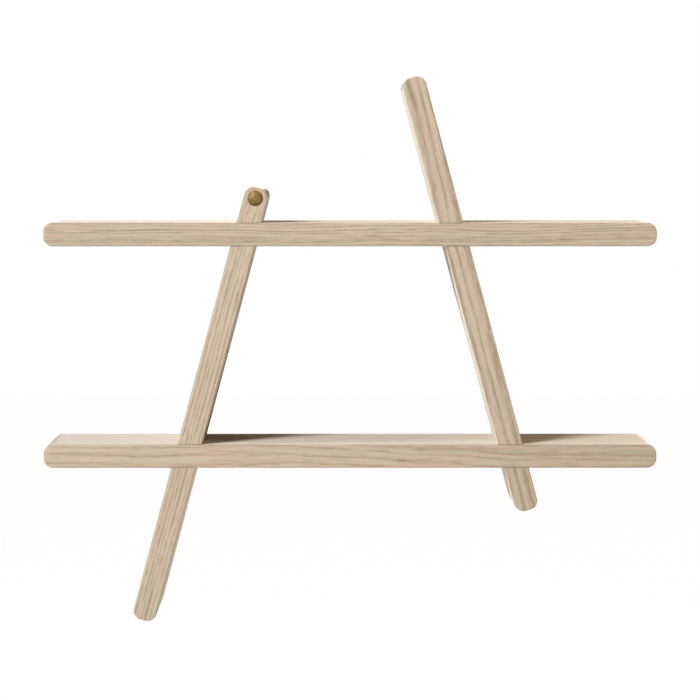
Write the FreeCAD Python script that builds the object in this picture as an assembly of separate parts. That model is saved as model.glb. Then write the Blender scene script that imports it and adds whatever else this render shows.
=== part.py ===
import FreeCAD, Part
import math
import os

# A wall shelf in oak: two shelves and two slanted legs that lean together like an open A.
# The boards cross in halved joints: each shelf is slotted from the rear, each leg from the front.
# The wall is the plane y = 0, the front faces -Y and +Z is up.
# The origin is the middle of the upper shelf's rear edge. Lengths are in millimetres.

# Boards
shelf_length = 520.0
board_depth = 150.0
board_thickness = 20.0
corner_radius = 8.0
arris_radius = 1.5

# Where the boards stand. Rises are above the upper shelf's centre line, the drop is below the lower's.
shelf_spacing = 188.0
leg_angle = 15.0
leg_half_spread = 88.4
left_leg_rise = 39.5
left_leg_drop = 139.6
right_leg_rise = 133.0

# Halved joints
halving_share = 0.5
joint_gap = 0.05

# Brass button in the left leg
button_diameter = 13.0
button_rim_height = 1.8
button_crown_height = 0.7
button_edge_radius = 0.25
button_seat_depth = 1.5
button_shank_diameter = 4.0
button_shank_length = 9.0
button_from_end = 9.2
button_gap = 0.05

# Keyhole plates, let in flush in the upper shelf's rear edge
plate_end_distance = 80.0
plate_length = 44.0
plate_height = 14.0
plate_thickness = 2.0
plate_edge_radius = 0.3
plate_gap = 0.1
keyhole_entry_diameter = 7.5
keyhole_slot_width = 3.9
keyhole_travel = 4.8
pocket_depth = 6.0
pocket_margin = 0.35

# Countersunk screws that hold the plates, with heads of 90 degrees
plate_screw_inset = 6.5
screw_diameter = 3.0
screw_length = 16.0
screw_tip_length = 2.5
screw_head_diameter = 5.6
screw_head_sink = 0.1
screw_gap = 0.05
driver_span = 3.0
driver_width = 0.7
driver_depth = 0.9

# One overrun for all cuts, and the smallest length that counts as a difference
overrun = 5.0
least_length = 0.001

# Sizes that follow. Both legs are cut to one length.
leg_length = (left_leg_rise + shelf_spacing + left_leg_drop) / math.cos(math.radians(leg_angle))
shelf_slot_depth = board_depth * halving_share
leg_rises = {"left": left_leg_rise, "right": right_leg_rise}
sides = {"left": -1, "right": 1}
keyhole_entry_radius = keyhole_entry_diameter / 2
keyhole_slot_radius = keyhole_slot_width / 2
keyhole_entry_z = (keyhole_entry_radius - keyhole_travel - keyhole_slot_radius) / 2
screw_radius = screw_diameter / 2
screw_head_radius = screw_head_diameter / 2


def point(x, y, z):
    return FreeCAD.Vector(x, y, z)


along_x = point(1, 0, 0)
along_y = point(0, 1, 0)
origin = point(0, 0, 0)


def bar(length, y_rear, y_front, height):
    """A plain bar, centred on the origin in X and Z, between two planes of constant y."""
    return Part.makeBox(length, y_rear - y_front, height, point(-length / 2, y_front, -height / 2))


def rod(radius, y_rear, y_front, x=0, z=0):
    """A round rod along Y, between two planes of constant y."""
    return Part.makeCylinder(radius, y_rear - y_front, point(x, y_front, z), along_y)


def stadium(start, end, radius, y_rear, y_front):
    """A prism along Y. Its outline is two half circles about start and end, joined by lines."""
    run = (end - start).normalize()
    side = run.cross(along_y)
    outline = [
        Part.LineSegment(start + side * radius, end + side * radius),
        Part.Arc(end + side * radius, end + run * radius, end - side * radius),
        Part.LineSegment(end - side * radius, start - side * radius),
        Part.Arc(start - side * radius, start - run * radius, start + side * radius),
    ]
    face = Part.Face(Part.Wire([piece.toShape() for piece in outline]))
    face.translate(along_y * y_front)
    return face.extrude(along_y * (y_rear - y_front))


def edges_along_y(shape):
    return [e for e in shape.Edges if max(e.BoundBox.XLength, e.BoundBox.ZLength) < least_length]


def edges_across_y(shape):
    return [e for e in shape.Edges if e.BoundBox.YLength < least_length]


# Boards

def board(length):
    """A board along X with round corners at its ends, seen from the front, and soft arrises."""
    blank = bar(length, 0, -board_depth, board_thickness)
    round_corner = min(corner_radius, board_thickness / 2 - least_length)
    blank = blank.makeFillet(round_corner, edges_along_y(blank))
    return blank.makeFillet(arris_radius, edges_across_y(blank))


def leg_top(side):
    """The middle of a leg's top end, on the wall plane."""
    reach = leg_half_spread - leg_rises[side] * math.tan(math.radians(leg_angle))
    return point(sides[side] * reach, 0, leg_rises[side])


def leg_direction(side):
    """Up along a leg. The legs lean towards each other."""
    lean = math.radians(leg_angle)
    return point(-sides[side] * math.sin(lean), 0, math.cos(lean))


def stand_as_leg(shape, side):
    """Turns a shape that lies along X to a leg's slant, and moves its middle to the leg's."""
    shape = shape.copy()
    shape.rotate(origin, along_y, -math.degrees(math.atan2(leg_direction(side).z, leg_direction(side).x)))
    shape.translate(leg_top(side) - leg_direction(side) * (leg_length / 2))
    return shape


def shelf(height):
    """A shelf at a height, with a slot from the rear for each leg."""
    made = board(shelf_length)
    made.translate(point(0, 0, height))
    slot = bar(leg_length, overrun, -shelf_slot_depth - joint_gap, board_thickness + 2 * joint_gap)
    for side in sides:
        made = made.cut(stand_as_leg(slot, side))
    return made


def leg(side):
    """A leg with a notch from the front for each shelf."""
    made = stand_as_leg(board(leg_length), side)
    notch = bar(shelf_length, -shelf_slot_depth, -board_depth - overrun, board_thickness + 2 * joint_gap)
    for height in (0, -shelf_spacing):
        here = notch.copy()
        here.translate(point(0, 0, height))
        made = made.cut(here)
    return made


# Brass button

def button_centre():
    """The middle of the button, on the front of the left leg."""
    return leg_top("left") - leg_direction("left") * button_from_end - along_y * board_depth


def button():
    """A turned button: a low crown on a round rim, with a shank behind it."""
    radius = button_diameter / 2
    shank_radius = button_shank_diameter / 2
    seat = button_seat_depth
    rim_front = seat - button_rim_height
    crown_front = rim_front - button_crown_height
    globe_radius = (radius**2 + button_crown_height**2) / (2 * button_crown_height)
    half_turn = math.asin(radius / globe_radius) / 2
    crown_mid = point(
        globe_radius * math.sin(half_turn), crown_front + globe_radius * (1 - math.cos(half_turn)), 0
    )
    corners = [
        point(0, crown_front, 0),
        point(radius, rim_front, 0),
        point(radius, seat, 0),
        point(shank_radius, seat, 0),
        point(shank_radius, seat + button_shank_length, 0),
        point(0, seat + button_shank_length, 0),
    ]
    outline = [Part.Arc(corners[0], crown_mid, corners[1])]
    outline += [Part.LineSegment(a, b) for a, b in zip(corners[1:], corners[2:] + corners[:1])]
    face = Part.Face(Part.Wire([piece.toShape() for piece in outline]))
    turned = face.revolve(origin, along_y, 360)
    rim = [e for e in edges_across_y(turned) if abs(e.BoundBox.YMin - rim_front) < least_length]
    turned = turned.makeFillet(button_edge_radius, rim)
    turned.translate(button_centre())
    return turned


def button_seat():
    """The counterbore and the blind hole that the button is pressed into."""
    front = -overrun
    seat = rod(button_diameter / 2 + button_gap, button_seat_depth, front)
    hole = rod(
        button_shank_diameter / 2 + button_gap, button_seat_depth + button_shank_length + button_gap, front
    )
    seat = seat.fuse(hole)
    seat.translate(button_centre())
    return seat


# Keyhole plates and their screws

def plate_middle(side):
    return sides[side] * (shelf_length / 2 - plate_end_distance)


def screw_places(side):
    """Where a plate's two screws stand: the inner one is nearer the middle of the shelf."""
    half = plate_length / 2 - plate_screw_inset
    return {
        "inner": plate_middle(side) - sides[side] * half,
        "outer": plate_middle(side) + sides[side] * half,
    }


def plate_blank(side, gap, y_rear):
    """A bar with round ends, as large as a plate and a gap round it."""
    reach = point(plate_length / 2 - plate_height / 2, 0, 0)
    middle = along_x * plate_middle(side)
    return stadium(middle - reach, middle + reach, plate_height / 2 + gap, y_rear, -plate_thickness)


def keyhole_line(side):
    """The middle of the round entry, and the middle of the slot's top where the shelf hangs."""
    entry = point(plate_middle(side), 0, keyhole_entry_z)
    return entry, entry + point(0, 0, keyhole_travel)


def keyhole_plate(side):
    """A steel plate with a keyhole upright in its middle and a countersunk hole at each end."""
    made = plate_blank(side, 0, 0)
    rim = [e for e in edges_across_y(made) if e.BoundBox.YMax > -least_length]
    made = made.makeFillet(plate_edge_radius, rim)
    entry, seat = keyhole_line(side)
    made = made.cut(rod(keyhole_entry_radius, overrun, -plate_thickness - overrun, entry.x, entry.z))
    made = made.cut(stadium(entry, seat, keyhole_slot_radius, overrun, -plate_thickness - overrun))
    sunk = screw_head_radius + screw_gap + screw_head_sink
    hole = screw_radius + screw_gap
    for x in screw_places(side).values():
        made = made.cut(rod(hole, overrun, -plate_thickness - overrun, x))
        made = made.cut(Part.makeCone(hole, sunk, sunk - hole, point(x, hole - sunk, 0), along_y))
    return made


def plate_screw(x):
    """A countersunk screw with a cross in its head, driven into the shelf from the rear."""
    outline = [
        point(0, 0, 0),
        point(screw_head_radius, 0, 0),
        point(screw_radius, screw_radius - screw_head_radius, 0),
        point(screw_radius, screw_tip_length - screw_length, 0),
        point(0, -screw_length, 0),
    ]
    face = Part.Face(Part.makePolygon(outline + outline[:1]))
    made = face.revolve(origin, along_y, 360)
    made = made.cut(bar(driver_span, overrun, -driver_depth, driver_width))
    made = made.cut(bar(driver_width, overrun, -driver_depth, driver_span))
    made.translate(point(x, -screw_head_sink, 0))
    return made


def fit_plate(made, side):
    """Cuts a plate's seat, the pocket behind its keyhole and its screw holes in the upper shelf."""
    made = made.cut(plate_blank(side, plate_gap, overrun))
    entry, seat = keyhole_line(side)
    floor = -plate_thickness - pocket_depth
    made = made.cut(stadium(entry, seat, keyhole_entry_radius + pocket_margin, overrun, floor))
    hole_end = -screw_head_sink - screw_length - screw_gap
    for x in screw_places(side).values():
        made = made.cut(rod(screw_radius + screw_gap, overrun, hole_end, x))
    return made


# The whole shelf

def whole_shelf():
    upper = shelf(0)
    for side in sides:
        upper = fit_plate(upper, side)
    made = {
        "upper_shelf": upper,
        "lower_shelf": shelf(-shelf_spacing),
        "left_leg": leg("left").cut(button_seat()),
        "right_leg": leg("right"),
        "brass_button": button(),
    }
    for side in sides:
        made[f"{side}_keyhole_plate"] = keyhole_plate(side)
        for place, x in screw_places(side).items():
            made[f"{side}_plate_{place}_screw"] = plate_screw(x)
    return made


os.makedirs("parts", exist_ok=True)
for node, solid in whole_shelf().items():
    solid.exportStep(f"parts/{node}.step")
    print(node, "valid" if solid.isValid() else "NOT VALID", len(solid.Solids), "solid", round(solid.Volume), "mm3")
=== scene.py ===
# %% [markdown]
# # A wall shelf of pale soaped oak
# The real shelf is four oak boards, planed to 20 mm and crossed in halved joints, with a turned
# brass button in one leg and zinc-plated keyhole plates let in at the back. Its shapes are already
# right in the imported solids, so this lesson loads them as they are and spends its time on the
# finish: wood that is solid all the way through, and metal with the marks of how it was made.

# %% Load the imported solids
import math

import bpy
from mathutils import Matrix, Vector


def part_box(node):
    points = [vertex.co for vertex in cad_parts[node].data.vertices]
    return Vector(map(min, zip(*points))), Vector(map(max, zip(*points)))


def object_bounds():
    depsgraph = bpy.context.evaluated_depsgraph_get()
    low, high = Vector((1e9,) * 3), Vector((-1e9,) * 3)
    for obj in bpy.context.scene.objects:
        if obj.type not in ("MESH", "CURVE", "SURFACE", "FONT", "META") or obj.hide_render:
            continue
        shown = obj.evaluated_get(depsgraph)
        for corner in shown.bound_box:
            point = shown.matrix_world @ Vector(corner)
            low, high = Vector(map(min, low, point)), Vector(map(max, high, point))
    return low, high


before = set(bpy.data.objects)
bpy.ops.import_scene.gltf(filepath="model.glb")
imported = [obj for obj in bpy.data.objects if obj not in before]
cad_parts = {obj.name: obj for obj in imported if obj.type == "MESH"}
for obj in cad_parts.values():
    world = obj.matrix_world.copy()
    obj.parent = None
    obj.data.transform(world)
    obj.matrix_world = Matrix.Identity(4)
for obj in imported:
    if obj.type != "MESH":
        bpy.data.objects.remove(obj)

cad_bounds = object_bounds()
print("nodes:", ", ".join(sorted(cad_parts)))

# %% [markdown]
# ## Measures
# The frame is in metres, but a maker thinks of wood in millimetres. Every pattern below is written
# in millimetres and turned to metres once. The middle of each piece and the front of the boards
# are read from the frame, so nothing is measured twice.

# %% Measures
MM = 0.001
LEG_SLANT = math.radians(15)


def middle_of(node):
    low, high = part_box(node)
    return (low + high) / 2


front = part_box("upper_shelf")[0].y
print("front of the boards at", round(front / MM), "mm")

# %% [markdown]
# ## Two helpers
# A colour is written as the sRGB hex value that a paint chart gives, and shaders work in linear
# light, so one function turns the first into the second. Another adds a node with its settings,
# and links or fills its sockets, so that a material reads as a list of what it is made of.

# %% Two helpers
def linear(hex_colour):
    values = [int(hex_colour[i : i + 2], 16) / 255 for i in (1, 3, 5)]
    return [v / 12.92 if v <= 0.04045 else ((v + 0.055) / 1.055) ** 2.4 for v in values] + [1]


def add(tree, kind, sockets=(), **settings):
    """A new node. sockets gives each input a value, or a node or output to link to it."""
    node = tree.nodes.new("ShaderNode" + kind)
    for name, value in settings.items():
        setattr(node, name, value)
    usable = [s for s in node.inputs if s.enabled]
    for key, value in dict(sockets).items():
        socket = usable[key] if isinstance(key, int) else next(s for s in usable if s.name == key)
        if isinstance(value, bpy.types.Node):
            value = next(s for s in value.outputs if s.enabled)
        if isinstance(value, bpy.types.NodeSocket):
            tree.links.new(value, socket)
        else:
            socket.default_value = value
    return node


print("mid grey in linear light:", [round(v, 3) for v in linear("#808080")[:3]])

# %% [markdown]
# ## Soaped oak
# Oak is a ring-porous wood: each year starts with a band of open pores, which looks darker, and
# ends in dense pale wood. Washed with soap and white pigment it turns a matt, greyish beige, and
# its raised fibres catch the light at a low angle, so that a top seen edge-on looks almost white.
# One way to make it is a flat pattern on each face, but then the grain breaks at every edge. Here
# the pattern is solid. Each board knows where the heart of its tree was, and the rings are
# cylinders about that line, so that a long edge shows lines, a face shows flames and an end shows
# arcs, all joined at the corners. The colours come first, and the size of each pattern.

# %% Colours and patterns of the oak
OAK_PINKISH = "#BFA894"
OAK_YELLOWISH = "#BBAE96"
OAK_BAND = "#98866F"
OAK_PORE = "#907A62"
OAK_RAY = "#D6C6AE"
OAK_FIBRE = "#FFF5E4"

# Length along the board and width across it of each pattern, in millimetres. Real pores are about
# 0.3 mm wide and single fibres finer still, too fine to show, so both are drawn coarser.
SHELF_PATTERNS_MM = {
    "bend": (240, 110),
    "wobble": (60, 10),
    "tone": (260, 60),
    "cloud": (90, 5),
    "streak": (75, 1.8),
    "fibre": (20, 0.9),
    "pore": (16, 0.7),
}
# The legs come from a livelier trunk, with quicker wobbles and shorter streaks
LEG_PATTERNS_MM = {
    **SHELF_PATTERNS_MM,
    "wobble": (32, 10),
    "streak": (40, 1.8),
    "fibre": (11, 0.9),
    "pore": (9, 0.7),
}
print("patterns in the oak:", ", ".join(SHELF_PATTERNS_MM))

# %% [markdown]
# ## A place in the board
# Everything in the wood is drawn in the board's own millimetres: along its length, through its
# depth and through its thickness. A Mapping node of the Texture kind works backwards, from the
# world to the board, so it gets the board's own place, slant and unit. cut_mm says how far along
# the log the board was cut, which gives each board wood of its own. The patterns are plain noise,
# stretched along the board as wood fibres are.

# %% A place in the board
def board_millimetres(tree, middle, slant, cut_mm):
    place = add(tree, "TexCoord")
    lengthwise = Vector((math.cos(slant), 0, -math.sin(slant)))
    sockets = {
        "Vector": place.outputs["Object"],
        "Location": Vector(middle) - lengthwise * cut_mm * MM,
        "Rotation": (0, slant, 0),
        "Scale": (MM,) * 3,
    }
    return add(tree, "Mapping", sockets, vector_type="TEXTURE")


def wood_noises(tree, board, patterns_mm):
    """One noise for each pattern. Each comes out between about 0.3 and 0.7, and most near 0.5."""
    noise = {}
    for pattern, (length, width) in patterns_mm.items():
        scale = (1 / length, 1 / width, 1 / width)
        stretched = add(tree, "Mapping", {"Vector": board, "Scale": scale})
        noise[pattern] = add(tree, "TexNoise", {"Vector": stretched, "Scale": 1.0, "Detail": 2.0})
    return noise


print("middle of the upper shelf:", [round(v / MM) for v in middle_of("upper_shelf")], "mm")

# %% [markdown]
# ## Years
# A ring is all that grew in one year, so the distance from the heart of the tree, divided by the
# width of a ring, counts the years. A real trunk bends slowly, wobbles a little and tapers by
# 8 mm a metre, which turns straight lines into flames. Good and bad summers make rings of uneven
# width. Through each year the wood goes from a band of pores to dense wood, as a colour ramp.

# %% Years
WOBBLE_MM = 2.2
TAPER = 0.008
WEATHER_CHANGES = 0.45
# Time in the year, and how full of pores the wood is then
PORE_BAND = ((0.0, 0.3), (0.08, 1.0), (0.28, 0.75), (0.5, 0.2), (0.75, 0.0), (1.0, 0.3))


def from_the_heart(tree, board, bend, heart_mm, wander_mm):
    """The way from the heart of the tree to a point of the board."""
    sockets = {0: bend.outputs["Color"], 1: (0, wander_mm, wander_mm), 2: board}
    bent = add(tree, "VectorMath", sockets, operation="MULTIPLY_ADD")
    away = [0] + [h + wander_mm / 2 for h in heart_mm]
    return add(tree, "VectorMath", {0: bent, 1: away}, operation="SUBTRACT")


def early_wood(tree, radius, along, wobble, ring_mm, uneven):
    """1 in a year's band of pores and 0 in its dense wood."""
    wobbled = add(tree, "Math", {0: wobble, 1: WOBBLE_MM, 2: radius}, operation="MULTIPLY_ADD")
    tapered = add(tree, "Math", {0: along, 1: TAPER, 2: wobbled}, operation="MULTIPLY_ADD")
    years = add(tree, "Math", {0: tapered, 1: ring_mm}, operation="DIVIDE")
    sockets = {"W": years, "Scale": WEATHER_CHANGES, "Detail": 1.0}
    weather = add(tree, "TexNoise", sockets, noise_dimensions="1D")
    year = add(tree, "Math", {0: weather, 1: uneven, 2: years}, operation="MULTIPLY_ADD")
    season = add(tree, "Math", {0: year}, operation="FRACT")
    early = add(tree, "ValToRGB", {0: season})
    stops = early.color_ramp.elements
    for stop, (position, level) in zip(stops, (PORE_BAND[0], PORE_BAND[-1])):
        stop.position, stop.color = position, (level, level, level, 1)
    for position, level in PORE_BAND[1:-1]:
        stops.new(position).color = (level, level, level, 1)
    return early


print("stops in a year:", len(PORE_BAND))

# %% [markdown]
# ## Rays
# Rays are thin ribbons of pale cells that run out from the heart. They are wide where a cut
# follows them, and mere dashes where it crosses them. So their noise is stretched along the board
# and along the radius, and it is thin in the turn about the heart, which is measured as a length
# at the board's distance from it.

# %% Rays
RAY_LENGTH_MM, RAY_REACH_MM, RAY_THICKNESS_MM = 11, 6, 0.45
RAY_PALENESS = 0.15
# Only the top of the noise's range becomes a ray, so they are few
FEW_RAYS = {"From Min": 0.62, "From Max": 0.74}


def ray_flecks(tree, from_heart, radius, along, heart_mm):
    spread = add(tree, "SeparateXYZ", {0: from_heart})
    around = {0: spread.outputs["Y"], 1: spread.outputs["Z"]}
    turn = add(tree, "Math", around, operation="ARCTAN2")
    per_turn = math.hypot(*heart_mm) / RAY_THICKNESS_MM
    ribbon = add(
        tree,
        "CombineXYZ",
        {
            "X": add(tree, "Math", {0: along, 1: RAY_LENGTH_MM}, operation="DIVIDE"),
            "Y": add(tree, "Math", {0: radius, 1: RAY_REACH_MM}, operation="DIVIDE"),
            "Z": add(tree, "Math", {0: turn, 1: per_turn}, operation="MULTIPLY"),
        },
    )
    rays = add(tree, "TexNoise", {"Vector": ribbon, "Scale": 1.0, "Detail": 0.0})
    return add(tree, "MapRange", {"Value": rays, **FEW_RAYS, "To Max": RAY_PALENESS})


print("a ray is", RAY_THICKNESS_MM, "mm thick")

# %% [markdown]
# ## One board of oak
# The colour is built up as the eye reads it. A pinkish and a yellowish beige lie in slow clouds,
# the early wood is darker, and fibres and slow tones make it paler or deeper by a tenth. Then come
# the pores, and last the rays. The pore bands come and go along a cut, because the vessels wander
# in and out of the surface. The planed and soaped surface is matt: high roughness, a weak gloss
# and the sheen of raised fibres, with fibres that stand and pores that are open as its relief.

# %% One board of oak
OAK_IOR = 1.5
OAK_ROUGHNESS = 0.75
OAK_GLOSS = 0.15
OAK_SHEEN = 1.0
OAK_SHEEN_SPREAD = 0.5
OAK_RELIEF_MM = 0.12
OAK_RELIEF_STRENGTH = 0.3
WEAKEST_BAND = 0.3
# The part of a noise's range over which each pattern sets in
CLOUDS = {"From Min": 0.35, "From Max": 0.65}
STREAKS = {"From Min": 0.38, "From Max": 0.62}
OPEN_PORES = {"From Min": 0.56, "From Max": 0.66}
PALER_OR_DEEPER = {"From Min": 0.3, "From Max": 0.7, "To Min": 0.9, "To Max": 1.1}


def soaped_oak(
    name, middle, slant, patterns_mm, heart_mm, ring_mm, uneven, wander_mm, cut_mm, contrast
):
    """Oak for one board. slant turns its length from X, and cut_mm is its place along the log."""
    material = bpy.data.materials.new(name)
    material.use_nodes = True
    tree = material.node_tree
    shader = tree.nodes["Principled BSDF"]

    board = board_millimetres(tree, middle, slant, cut_mm)
    noise = wood_noises(tree, board, patterns_mm)
    along = add(tree, "SeparateXYZ", {0: board}).outputs["X"]
    from_heart = from_the_heart(tree, board, noise["bend"], heart_mm, wander_mm)
    across = add(tree, "VectorMath", {0: from_heart, 1: (0, 1, 1)}, operation="MULTIPLY")
    radius = add(tree, "VectorMath", {0: across}, operation="LENGTH")
    early = early_wood(tree, radius, along, noise["wobble"], ring_mm, uneven)

    # Beige in clouds, and the darker bands where the cut meets them
    cloud = add(tree, "MapRange", {"Value": noise["cloud"], **CLOUDS})
    beiges = {"Factor": cloud, "A": linear(OAK_PINKISH), "B": linear(OAK_YELLOWISH)}
    beige = add(tree, "Mix", beiges, data_type="RGBA")
    strengths = {"To Min": WEAKEST_BAND * contrast, "To Max": contrast}
    met = add(tree, "MapRange", {"Value": noise["streak"], **STREAKS, **strengths})
    band = add(tree, "Math", {0: early, 1: met}, operation="MULTIPLY")
    bands = {"Factor": band, "A": beige, "B": linear(OAK_BAND)}
    ringed = add(tree, "Mix", bands, data_type="RGBA")

    # Fibres and slow tones, then pores and rays
    fibre = add(tree, "MapRange", {"Value": noise["fibre"], **PALER_OR_DEEPER})
    tone = add(tree, "MapRange", {"Value": noise["tone"], **PALER_OR_DEEPER})
    shade = add(tree, "Math", {0: fibre, 1: tone}, operation="MULTIPLY")
    streaked = add(tree, "VectorMath", {0: ringed, 1: shade}, operation="MULTIPLY")
    open_pore = add(tree, "MapRange", {"Value": noise["pore"], **OPEN_PORES})
    pores = add(tree, "Math", {0: open_pore, 1: early}, operation="MULTIPLY")
    dark_pores = {"Factor": pores, "A": streaked, "B": linear(OAK_PORE)}
    pored = add(tree, "Mix", dark_pores, data_type="RGBA")
    fleck = ray_flecks(tree, from_heart, radius, along, heart_mm)
    pale_rays = {"Factor": fleck, "A": pored, "B": linear(OAK_RAY)}
    flecked = add(tree, "Mix", pale_rays, data_type="RGBA")
    tree.links.new(flecked.outputs[2], shader.inputs["Base Color"])

    # Relief, and the matt surface
    height = add(tree, "Math", {0: noise["fibre"], 1: pores}, operation="SUBTRACT")
    depth = {"Strength": OAK_RELIEF_STRENGTH, "Distance": OAK_RELIEF_MM * MM}
    bump = add(tree, "Bump", {**depth, "Height": height})
    tree.links.new(bump.outputs["Normal"], shader.inputs["Normal"])
    shader.inputs["Roughness"].default_value = OAK_ROUGHNESS
    shader.inputs["IOR"].default_value = OAK_IOR
    shader.inputs["Specular IOR Level"].default_value = OAK_GLOSS
    shader.inputs["Sheen Weight"].default_value = OAK_SHEEN
    shader.inputs["Sheen Roughness"].default_value = OAK_SHEEN_SPREAD
    shader.inputs["Sheen Tint"].default_value = linear(OAK_FIBRE)
    return material


print("relief of the grain:", OAK_RELIEF_MM, "mm")

# %% [markdown]
# ## The four boards
# Each board is cut from another place, so each has its own heart, ring width and bend. heart_mm
# is how far the heart lies from the board's middle, through the depth and the thickness. A heart
# well off the edge gives the front long even lines, and one close under a shelf gives its top a
# cathedral figure. contrast says how clearly the pore bands show.

# %% The four boards
BOARDS = {
    "upper_shelf": dict(
        slant=0,
        patterns_mm=SHELF_PATTERNS_MM,
        heart_mm=(-82, 63),
        ring_mm=3.7,
        uneven=1.8,
        wander_mm=16,
        cut_mm=5970,
        contrast=0.8,
    ),
    "lower_shelf": dict(
        slant=0,
        patterns_mm=SHELF_PATTERNS_MM,
        heart_mm=(-3, -48),
        ring_mm=3.6,
        uneven=1.8,
        wander_mm=17,
        cut_mm=7788,
        contrast=0.7,
    ),
    "left_leg": dict(
        slant=LEG_SLANT - math.pi / 2,
        patterns_mm=LEG_PATTERNS_MM,
        heart_mm=(-84, -160),
        ring_mm=3.4,
        uneven=1.2,
        wander_mm=6,
        cut_mm=1313,
        contrast=1.0,
    ),
    "right_leg": dict(
        slant=-LEG_SLANT - math.pi / 2,
        patterns_mm=LEG_PATTERNS_MM,
        heart_mm=(57, -102),
        ring_mm=4.9,
        uneven=1.8,
        wander_mm=10,
        cut_mm=6641,
        contrast=1.4,
    ),
}
for piece, grain in BOARDS.items():
    oak = soaped_oak("soaped_oak_" + piece, middle_of(piece), **grain)
    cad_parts[piece].material_slots[0].material = oak
    print(piece, "is", oak.name)

# %% [markdown]
# ## Toned brass, with painted shade low down
# The button was faced on a lathe, pressed in and left to tone, as soap and hands do to brass. So it
# has fine rings about its middle, an olive-brown skin that is thickest in patches, and brighter
# metal where the cloth reaches, and it is made darker near the rim. Low down it is darker still:
# that is painted shade, for the darker things that the lower part of its face mirrors. Metal takes
# its colour from what it mirrors, so the tone and the painted shade are in the base colour, and the
# roughness rises where they are strong. The tool left about five marks to a millimetre, too fine to
# show, so two are drawn.

# %% Toned brass, with painted shade low down
BRASS_BRIGHT = "#8B7547"
BRASS_TONED_AND_SHADED = "#524024"
BRASS_SMOOTHEST, BRASS_ROUGHEST = 0.3, 0.5
PATCHES_PER_MM = 0.3
PATCH_SKIN = {"From Min": 0.3, "From Max": 0.7, "To Min": -0.3, "To Max": 0.5}
# How much the rim darkens it, how much painted shade it gets low down, and between which distances
# from the middle
RIM_DARKENING, RIM_FROM_MM, RIM_TO_MM = 0.5, 4.0, 6.4
LOW_PAINTED_SHADE, LOW_SHADE_FROM_MM, LOW_SHADE_TO_MM = 0.7, 6.0, -6.0
TURNING_MARKS_PER_MM = 2.0
TURNING_DEPTH_MM = 0.06
TURNING_STRENGTH = 0.5


def toned_brass_with_painted_shade():
    material = bpy.data.materials.new("toned_brass_with_painted_shade")
    material.use_nodes = True
    tree = material.node_tree
    shader = tree.nodes["Principled BSDF"]
    place = add(tree, "TexCoord").outputs["Object"]
    sockets = {"Vector": place, "Location": middle_of("brass_button"), "Scale": (MM,) * 3}
    button = add(tree, "Mapping", sockets, vector_type="TEXTURE")
    flat = add(tree, "VectorMath", {0: button, 1: (1, 0, 1)}, operation="MULTIPLY")
    radius = add(tree, "VectorMath", {0: flat}, operation="LENGTH")

    # Skin in patches, darker near the rim, and painted shade low down
    uneven = {"Vector": button, "Scale": PATCHES_PER_MM, "Detail": 4.0, "Roughness": 0.6}
    patches = add(tree, "TexNoise", uneven)
    outwards = {"From Min": RIM_FROM_MM, "From Max": RIM_TO_MM, "To Max": RIM_DARKENING}
    rim = add(tree, "MapRange", {"Value": radius, **outwards})
    height = add(tree, "SeparateXYZ", {0: button}).outputs["Z"]
    painted_shade_downwards = {"From Min": LOW_SHADE_FROM_MM, "From Max": LOW_SHADE_TO_MM, "To Max": LOW_PAINTED_SHADE}
    low = add(tree, "MapRange", {"Value": height, **painted_shade_downwards})
    skin_and_painted_shade = add(tree, "MapRange", {"Value": patches, **PATCH_SKIN})
    skin_and_painted_shade = add(tree, "Math", {0: skin_and_painted_shade, 1: rim}, operation="ADD")
    skin_and_painted_shade = add(tree, "Math", {0: skin_and_painted_shade, 1: low}, operation="ADD", use_clamp=True)
    # The dark colour stands for both the skin and the painted shade low down
    tones = {"Factor": skin_and_painted_shade, "A": linear(BRASS_BRIGHT), "B": linear(BRASS_TONED_AND_SHADED)}
    colour = add(tree, "Mix", tones, data_type="RGBA")
    tree.links.new(colour.outputs[2], shader.inputs["Base Color"])
    roughness = {"To Min": BRASS_SMOOTHEST, "To Max": BRASS_ROUGHEST}
    rough = add(tree, "MapRange", {"Value": skin_and_painted_shade, **roughness})
    tree.links.new(rough.outputs[0], shader.inputs["Roughness"])

    marks = {"W": radius, "Scale": TURNING_MARKS_PER_MM, "Detail": 3.0}
    turning = add(tree, "TexNoise", marks, noise_dimensions="1D")
    depth = {"Strength": TURNING_STRENGTH, "Distance": TURNING_DEPTH_MM * MM}
    bump = add(tree, "Bump", {**depth, "Height": turning})
    tree.links.new(bump.outputs["Normal"], shader.inputs["Normal"])
    shader.inputs["Metallic"].default_value = 1.0
    return material


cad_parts["brass_button"].material_slots[0].material = toned_brass_with_painted_shade()
print("button is toned brass")

# %% [markdown]
# ## Zinc-plated steel
# The keyhole plates are punched from sheet and tumbled in a zinc bath, and the screws with them.
# Bright zinc is a cool grey with fine, aimless scratches, and faint blue and yellow in its polish.
# The screws are harder steel with a thinner coat, so they are a shade darker and less bright. Real
# scratches are finer than a tenth of a millimetre, too fine to show, so about two are drawn to one.

# %% Zinc-plated steel
TINTS_PER_MM = 0.12
SCRATCHES_PER_MM = 2.2
SCRATCH_CURL = 1.5
SCRATCH_DEPTH_MM = 0.03
SCRATCH_STRENGTH = 0.4
BRIGHT_TO_SCRATCHED = {"From Min": 0.35, "From Max": 0.65}


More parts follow.
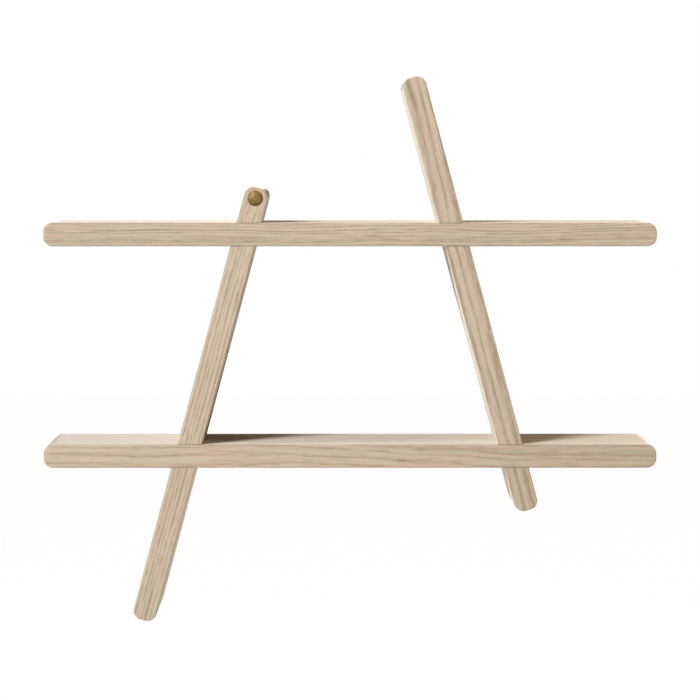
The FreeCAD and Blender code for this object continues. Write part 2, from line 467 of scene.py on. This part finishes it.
def bright_zinc(name, bluish, yellowish, roughness):
    """Zinc on steel. roughness is its least and its most."""
    material = bpy.data.materials.new(name)
    material.use_nodes = True
    tree = material.node_tree
    shader = tree.nodes["Principled BSDF"]
    place = add(tree, "TexCoord").outputs["Object"]
    sheet = add(tree, "Mapping", {"Vector": place, "Scale": (MM,) * 3}, vector_type="TEXTURE")
    tint = add(tree, "TexNoise", {"Vector": sheet, "Scale": TINTS_PER_MM, "Detail": 2.0})
    tints = {"Factor": tint, "A": linear(bluish), "B": linear(yellowish)}
    colour = add(tree, "Mix", tints, data_type="RGBA")
    tree.links.new(colour.outputs[2], shader.inputs["Base Color"])

    aimless = {"Scale": SCRATCHES_PER_MM, "Detail": 6.0, "Distortion": SCRATCH_CURL}
    marks = add(tree, "TexNoise", {"Vector": sheet, **aimless})
    ends = dict(zip(("To Min", "To Max"), roughness))
    rough = add(tree, "MapRange", {"Value": marks, **BRIGHT_TO_SCRATCHED, **ends})
    tree.links.new(rough.outputs[0], shader.inputs["Roughness"])
    depth = {"Strength": SCRATCH_STRENGTH, "Distance": SCRATCH_DEPTH_MM * MM}
    bump = add(tree, "Bump", {**depth, "Height": marks})
    tree.links.new(bump.outputs["Normal"], shader.inputs["Normal"])
    shader.inputs["Metallic"].default_value = 1.0
    return material


plate_zinc = bright_zinc("zinc_on_sheet_steel", "#9DA5AC", "#B4AF9F", roughness=(0.24, 0.42))
screw_zinc = bright_zinc("zinc_on_screw_steel", "#747A80", "#858073", roughness=(0.3, 0.5))
for piece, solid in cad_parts.items():
    if "plate" in piece:
        zinc = screw_zinc if piece.endswith("screw") else plate_zinc
        solid.material_slots[0].material = zinc
        print(piece, "is", zinc.name)

# %% [markdown]
# ## The white room
# The shelf hangs on a wall, well above a pale floor, against plain white. White world and floor
# are for the eye: they are seen by the camera and in reflections, and light the shelf much less,
# so that the shadows on it stay deep. What little they give is warm from above, as from the walls
# of a room, and rises from the floor, so that undersides stay readable.

# %% The white room
SKY_LIGHT = 0.018
SKY_TINT = "#FFB97A"
FLOOR_PAINT = "#F2F2F2"
FLOOR_ROUGHNESS = 0.9
FLOOR_LIGHT = 0.16
FLOOR_SEEN = 0.9
FLOOR_DROP = 1.2
FLOOR_REACH = 20.0
WHITE = linear("#FFFFFF")

scene = bpy.context.scene
scene.view_settings.view_transform = "Standard"


def is_seen(tree):
    """1 for what the camera, reflections and glass see, and 0 for light that falls on the shelf."""
    ray = add(tree, "LightPath").outputs
    seen = {0: ray["Is Camera Ray"], 1: ray["Is Glossy Ray"]}
    seen = add(tree, "Math", seen, operation="MAXIMUM")
    return add(tree, "Math", {0: seen, 1: ray["Is Transmission Ray"]}, operation="MAXIMUM")


world = bpy.data.worlds.new("white_room")
scene.world = world
world.use_nodes = True
tree = world.node_tree
background = tree.nodes["Background"]
seen = is_seen(tree)
sky = add(tree, "Mix", {"Factor": seen, "A": linear(SKY_TINT), "B": WHITE}, data_type="RGBA")
strength = add(tree, "MapRange", {"Value": seen, "To Min": SKY_LIGHT, "To Max": 1.0})
tree.links.new(sky.outputs[2], background.inputs["Color"])
tree.links.new(strength.outputs[0], background.inputs["Strength"])

square = ((-1, -1), (1, -1), (1, 1), (-1, 1))
corners = [(x * FLOOR_REACH, y * FLOOR_REACH, -FLOOR_DROP) for x, y in square]
floor_mesh = bpy.data.meshes.new("floor")
floor_mesh.from_pydata(corners, [], [(0, 1, 2, 3)])
floor = bpy.data.objects.new("floor", floor_mesh)
scene.collection.objects.link(floor)

paint = bpy.data.materials.new("pale_floor_paint")
paint.use_nodes = True
tree = paint.node_tree
shader = tree.nodes["Principled BSDF"]
shader.inputs["Base Color"].default_value = linear(FLOOR_PAINT)
shader.inputs["Roughness"].default_value = FLOOR_ROUGHNESS
shader.inputs["Emission Color"].default_value = WHITE
glow = add(tree, "MapRange", {"Value": is_seen(tree), "To Min": FLOOR_LIGHT, "To Max": FLOOR_SEEN})
tree.links.new(glow.outputs[0], shader.inputs["Emission Strength"])
floor_mesh.materials.append(paint)
print("floor", FLOOR_DROP, "m down")

# %% [markdown]
# ## Studio lamps
# Most of the light comes from a softbox in front to the left, a little above the shelf: it throws
# the legs' shadows back to the right across the shelves. One overhead, a little to the right,
# lights the leg's side that stands above the upper shelf, and the upper shelf keeps it off all
# that is below. A weaker one further round to the left is a little cooler, a warm reflector lifts
# the ends and sides that face right, and a low lamp behind lights the rear edges.

# %% Studio lamps
middle = (Vector(cad_bounds[0]) + Vector(cad_bounds[1])) / 2


def softbox(name, towards, distance, size, power, tint="#FFFFFF"):
    """A square lamp that faces the shelf. towards points from the shelf to the lamp."""
    towards = Vector(towards).normalized()
    data = bpy.data.lights.new(name, "AREA")
    data.shape = "SQUARE"
    data.size = size
    data.energy = power
    data.color = linear(tint)[:3]
    lamp = bpy.data.objects.new(name, data)
    scene.collection.objects.link(lamp)
    lamp.location = middle + towards * distance
    lamp.rotation_euler = towards.to_track_quat("Z", "Y").to_euler()
    lamp.visible_camera = False
    print(name, "at", [round(v, 2) for v in lamp.location])


softbox("key_softbox", towards=(-0.595, -1.0, 0.52), distance=4.2, size=1.2, power=154)
softbox(
    "side_softbox",
    towards=(-0.95, -0.25, 0.38),
    distance=2.5,
    size=0.8,
    power=23,
    tint="#E6EFFF",
)
softbox("overhead_softbox", towards=(0.3, -0.1, 1.0), distance=2.5, size=1.2, power=25)
softbox(
    "right_reflector",
    towards=(1.0, -0.08, 0.1),
    distance=2.5,
    size=1.6,
    power=18,
    tint="#FFE6C8",
)
softbox("low_rear_softbox", towards=(0.0, 1.0, -0.32), distance=2.0, size=0.6, power=1.7)

# %% [markdown]
# ## Camera
# The photograph's depth lines meet a little above and left of its middle, which gives the tilt,
# and the shelf's ends give the distance. A long lens far away keeps the lines nearly parallel.

# %% Camera
LENS_MM = 229.4
CAMERA_DISTANCE = 3.777
CAMERA_HEIGHT = 0.0628
CAMERA_SHIFT_LEFT = 0.011
AIM_BELOW = 0.0978

camera_data = bpy.data.cameras.new("camera")
camera_data.lens = LENS_MM
camera = bpy.data.objects.new("camera", camera_data)
scene.collection.objects.link(camera)
camera.location = (-CAMERA_SHIFT_LEFT, front - CAMERA_DISTANCE, CAMERA_HEIGHT)
look = Vector((0, front, -AIM_BELOW)) - camera.location
camera.rotation_euler = look.to_track_quat("-Z", "Y").to_euler()
scene.camera = camera
print("camera at", [round(v, 3) for v in camera.location])
